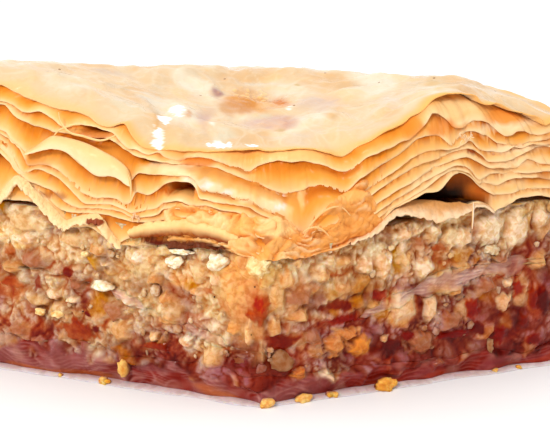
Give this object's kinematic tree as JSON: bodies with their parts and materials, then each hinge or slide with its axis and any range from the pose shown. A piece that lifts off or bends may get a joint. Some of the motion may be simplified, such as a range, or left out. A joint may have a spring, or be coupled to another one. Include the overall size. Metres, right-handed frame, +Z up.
{
  "type": "baklava piece",
  "caption": "Diamond-cut baklava: a soaked phyllo base, chopped nuts with phyllo sheets between, and a tall puffed flaky crust, pressed down at one corner.",
  "frame": {"origin": "middle of the underside of the piece's bounding box, on the surface it stands on", "axes": "+X along the long diagonal of the diamond, -Y towards the pressed obtuse corner, +Z up"},
  "size_m": [0.0962, 0.0442, 0.0419],
  "materials": {
    "soaked_phyllo": "phyllo soaked in dark syrup, glossy",
    "soaked_nuts": "chopped nuts soaked in dark syrup, glossy",
    "inner_phyllo": "translucent phyllo sheets, moist",
    "toasted_nuts": "chopped toasted nuts bound with syrup",
    "golden_crust": "crisp baked phyllo leaves, syrup glazed"
  },
  "bodies": {
    "root": {"bottom_phyllo": "soaked_phyllo", "lower_nut_filling": "soaked_nuts", "middle_phyllo": "inner_phyllo", "upper_nut_filling": "toasted_nuts", "top_phyllo": "golden_crust"}
  },
  "joints": []
}
